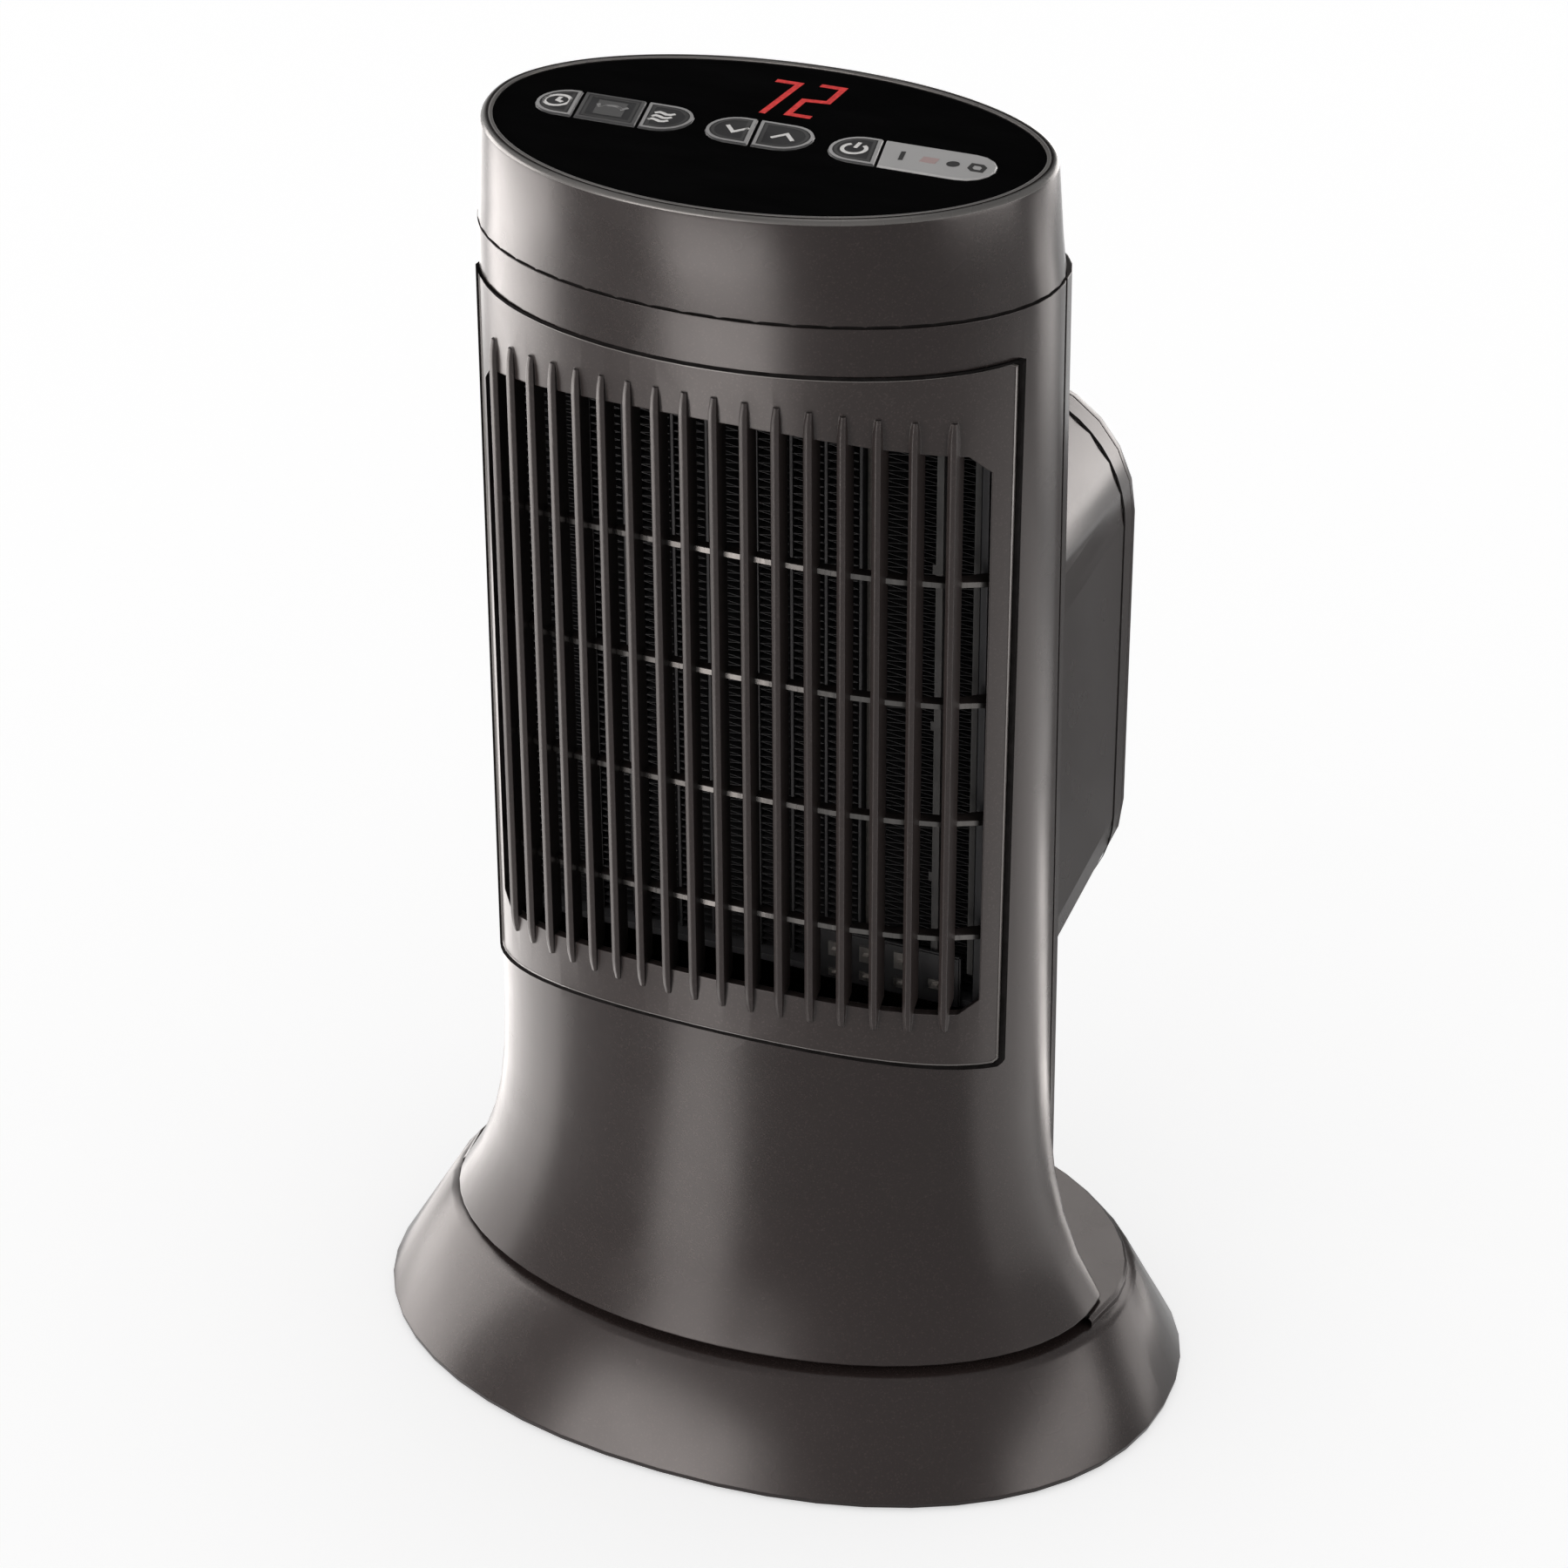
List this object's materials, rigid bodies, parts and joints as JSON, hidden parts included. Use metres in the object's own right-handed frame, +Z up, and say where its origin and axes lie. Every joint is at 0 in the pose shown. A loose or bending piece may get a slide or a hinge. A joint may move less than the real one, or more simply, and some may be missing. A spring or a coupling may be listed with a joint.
{
  "type": "tower heater",
  "caption": "Compact tower heater: flared oval body with an arched blade outlet, keys on a leaning top panel and a rear fan housing, swinging on an oval base.",
  "frame": {"origin": "on the floor under the middle of the oval base", "axes": "+Z up; warm air leaves towards -Y; +X is to the right of someone who looks at the air outlet"},
  "size_m": [0.26, 0.1828, 0.4054],
  "materials": {
    "shell": "warm dark grey metallic paint, satin",
    "grille": "warm dark grey metallic paint, satin",
    "panel": "black, high gloss",
    "keys": "dark grey, satin, with printed signs",
    "lens": "pale grey, satin",
    "inner_black": "black, moulded",
    "rubber": "black, matte",
    "nylon": "off-white, moulded",
    "steel": "zinc-plated, satin",
    "fins": "bare, bright",
    "ceramic": "grey-brown, dry",
    "board": "green solder mask",
    "filter": "black woven mesh"
  },
  "bodies": {
    "base": {"base_shell": "shell", "base_plate": "inner_black", "foot_front_left": "rubber", "foot_front_right": "rubber", "foot_rear_left": "rubber", "foot_rear_right": "rubber", "bearing_ring": "nylon", "swing_motor": "steel", "tip_switch_case": "inner_black", "cord_gland": "inner_black"},
    "swing_pinion_body": {"swing_pinion": "nylon"},
    "tip_plunger": {"tip_switch_plunger": "nylon"},
    "tower": {"front_shell": "shell", "rear_shell": "shell", "top_cap": "shell", "outlet_grille": "grille", "tower_floor": "inner_black", "spindle_clip": "nylon", "swing_gear": "nylon", "control_panel": "panel", "indicator_lens": "lens", "control_board": "board", "display_module": "inner_black", "core_frame": "inner_black", "fin_pack_1": "fins", "fin_pack_2": "fins", "fin_pack_3": "fins", "fin_pack_4": "fins", "ptc_bar_1": "ceramic", "ptc_bar_2": "ceramic", "ptc_bar_3": "ceramic", "thermal_cutout": "steel", "fan_shroud": "inner_black", "fan_motor": "steel", "motor_mount": "inner_black", "power_board": "board"},
    "fan": {"fan_rotor": "inner_black", "motor_shaft": "steel"},
    "cover": {"rear_cover": "shell", "dust_filter": "filter"},
    "key_timer_body": {"key_timer": "keys"},
    "key_swing_body": {"key_swing": "keys"},
    "key_heat_body": {"key_heat": "keys"},
    "key_down_body": {"key_down": "keys"},
    "key_up_body": {"key_up": "keys"},
    "key_power_body": {"key_power": "keys"}
  },
  "joints": [
    {"name": "swivel", "type": "hinge", "parent": "base", "child": "tower", "pos_m": [0, -0.004, 0.0368], "axis": [0, 0, 1], "range_deg": [-35, 35]},
    {"name": "pinion_spin", "type": "hinge", "parent": "base", "child": "swing_pinion_body", "pos_m": [0, 0.026, 0.0162], "axis": [0, 0, 1], "range_deg": [-140, 140]},
    {"name": "tip_pin_slide", "type": "slide", "parent": "base", "child": "tip_plunger", "axis": [0, 0, 1], "range_m": [-0.005, 0.0015], "stiffness_N_per_m": 50, "springref_m": -0.006},
    {"name": "fan_spin", "type": "hinge", "parent": "tower", "child": "fan", "pos_m": [0, 0.043, 0.212], "axis": [0, 1, 0], "continuous": true},
    {"name": "cover_slide", "type": "slide", "parent": "tower", "child": "cover", "axis": [0, 1, 0], "range_m": [0, 0.04]},
    {"name": "key_timer_press", "type": "slide", "parent": "tower", "child": "key_timer_body", "axis": [0, 0.03, -0.9996], "range_m": [0, 0.0008], "stiffness_N_per_m": 400, "springref_m": -0.0006},
    {"name": "key_swing_press", "type": "slide", "parent": "tower", "child": "key_swing_body", "axis": [0, 0.03, -0.9996], "range_m": [0, 0.0008], "stiffness_N_per_m": 400, "springref_m": -0.0006},
    {"name": "key_heat_press", "type": "slide", "parent": "tower", "child": "key_heat_body", "axis": [0, 0.03, -0.9996], "range_m": [0, 0.0008], "stiffness_N_per_m": 400, "springref_m": -0.0006},
    {"name": "key_down_press", "type": "slide", "parent": "tower", "child": "key_down_body", "axis": [0, 0.03, -0.9996], "range_m": [0, 0.0008], "stiffness_N_per_m": 400, "springref_m": -0.0006},
    {"name": "key_up_press", "type": "slide", "parent": "tower", "child": "key_up_body", "axis": [0, 0.03, -0.9996], "range_m": [0, 0.0008], "stiffness_N_per_m": 400, "springref_m": -0.0006},
    {"name": "key_power_press", "type": "slide", "parent": "tower", "child": "key_power_body", "axis": [0, 0.03, -0.9996], "range_m": [0, 0.0008], "stiffness_N_per_m": 400, "springref_m": -0.0006}
  ],
  "couplings": [
    {"joint": "pinion_spin", "follows": "swivel", "ratio": -4}
  ]
}
